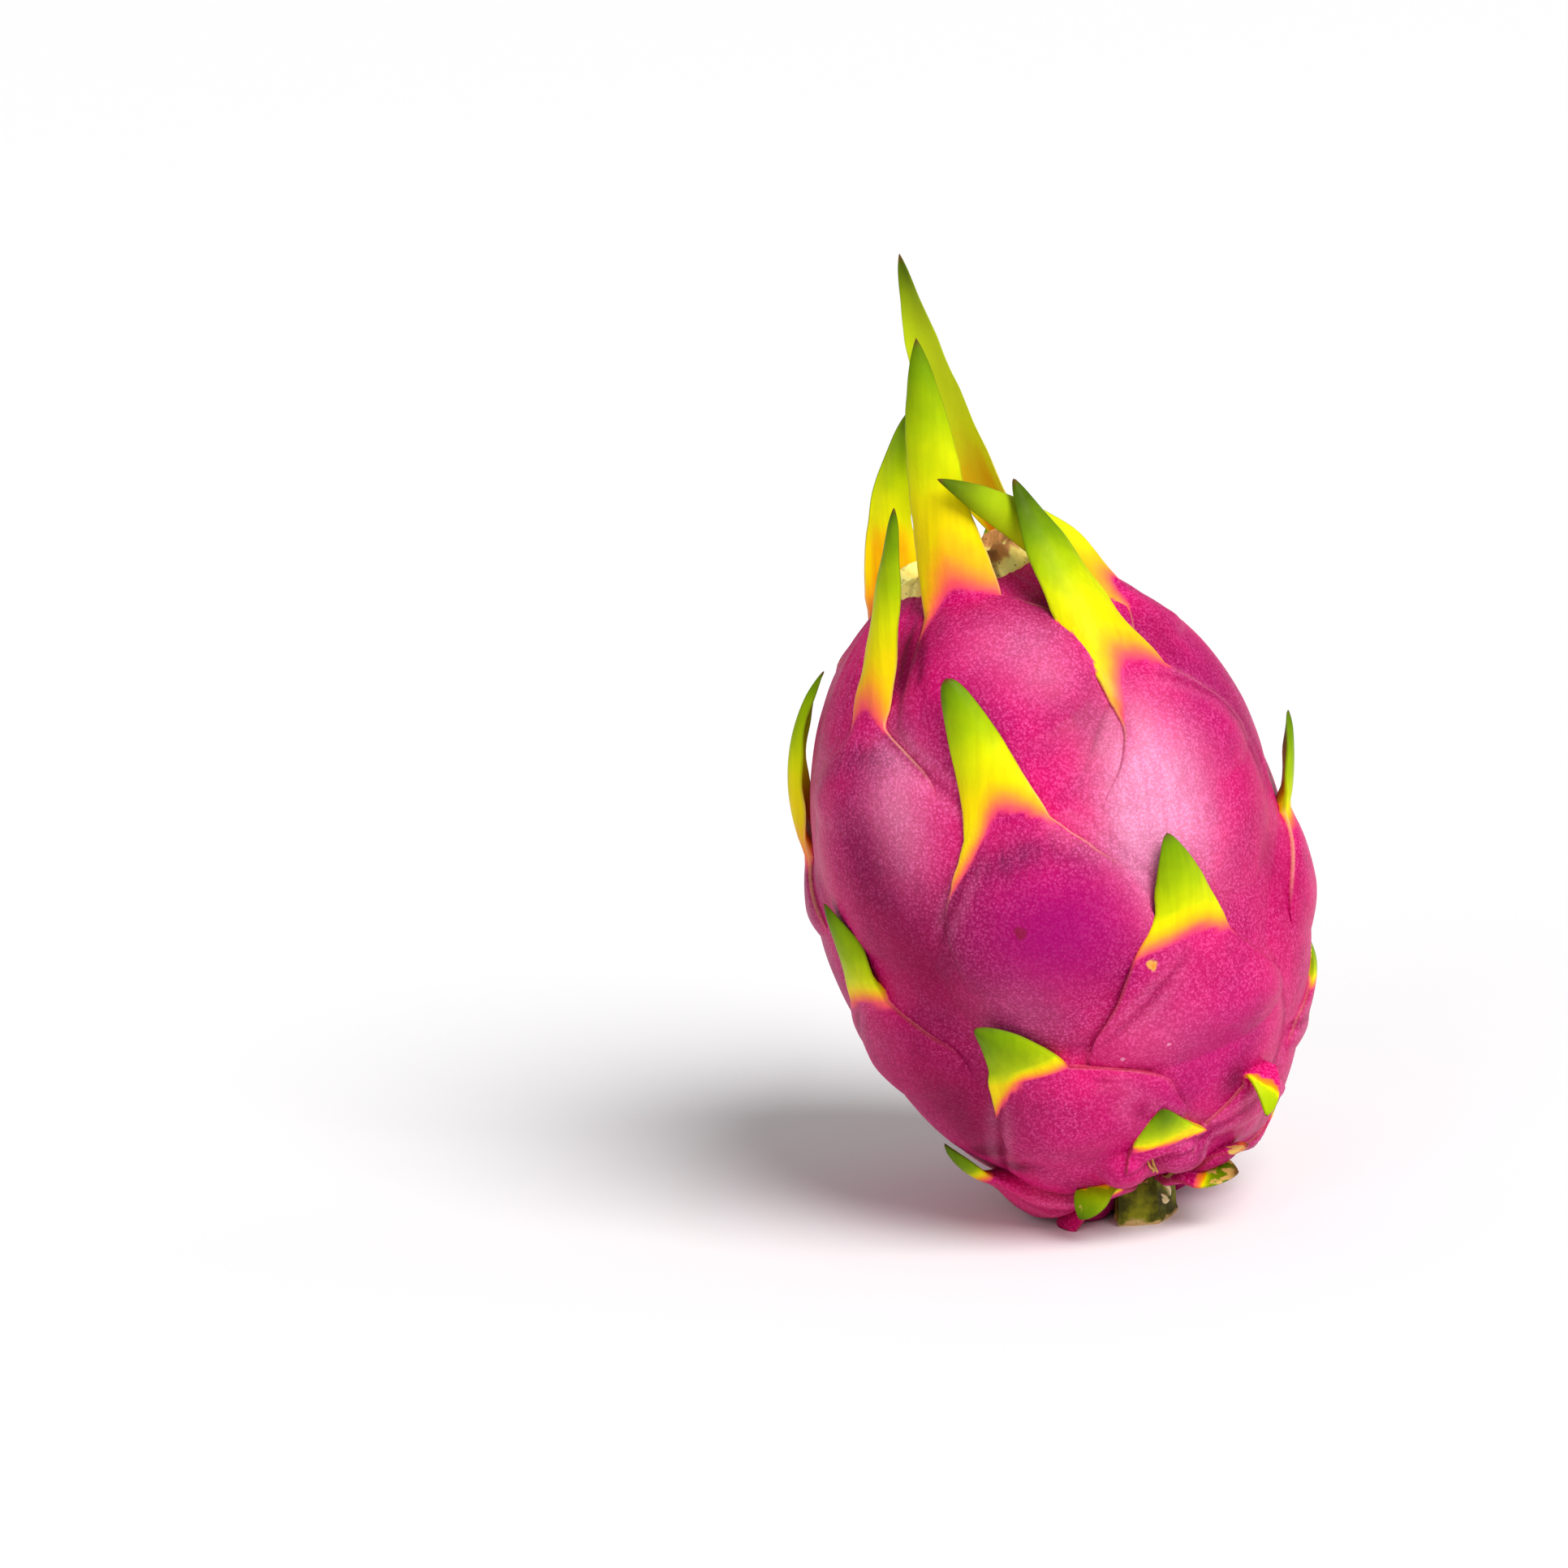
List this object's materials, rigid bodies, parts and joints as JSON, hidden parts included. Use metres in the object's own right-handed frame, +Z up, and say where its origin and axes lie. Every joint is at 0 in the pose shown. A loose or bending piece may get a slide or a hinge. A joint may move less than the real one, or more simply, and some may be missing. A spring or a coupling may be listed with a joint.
{
  "type": "dragon fruit",
  "caption": "Whole ripe dragon fruit standing on its stem end: an egg-shaped pink skin with overlapping leafy scales, a cut green stem stub and a withered flower scar.",
  "frame": {"origin": "On the surface the fruit rests on, under the middle of the cut stem's flat foot", "axes": "+Z up, -Y towards the front, +X to the right; the fruit's own axis leans 14 degrees towards -X and 3 degrees towards +Y"},
  "size_m": [0.0866, 0.0852, 0.1604],
  "materials": {
    "skin": "waxy magenta skin with fine pale stipple; scales run from pink through orange and yellow to olive green at the tip",
    "cut_stem": "olive green cactus stem, dull, with a dry tan cut edge",
    "withered_flower": "dry wrinkled tan and brown plant tissue"
  },
  "bodies": {
    "root": {"fruit": "skin", "stem_stub": "cut_stem", "flower_scar": "withered_flower"}
  },
  "joints": []
}
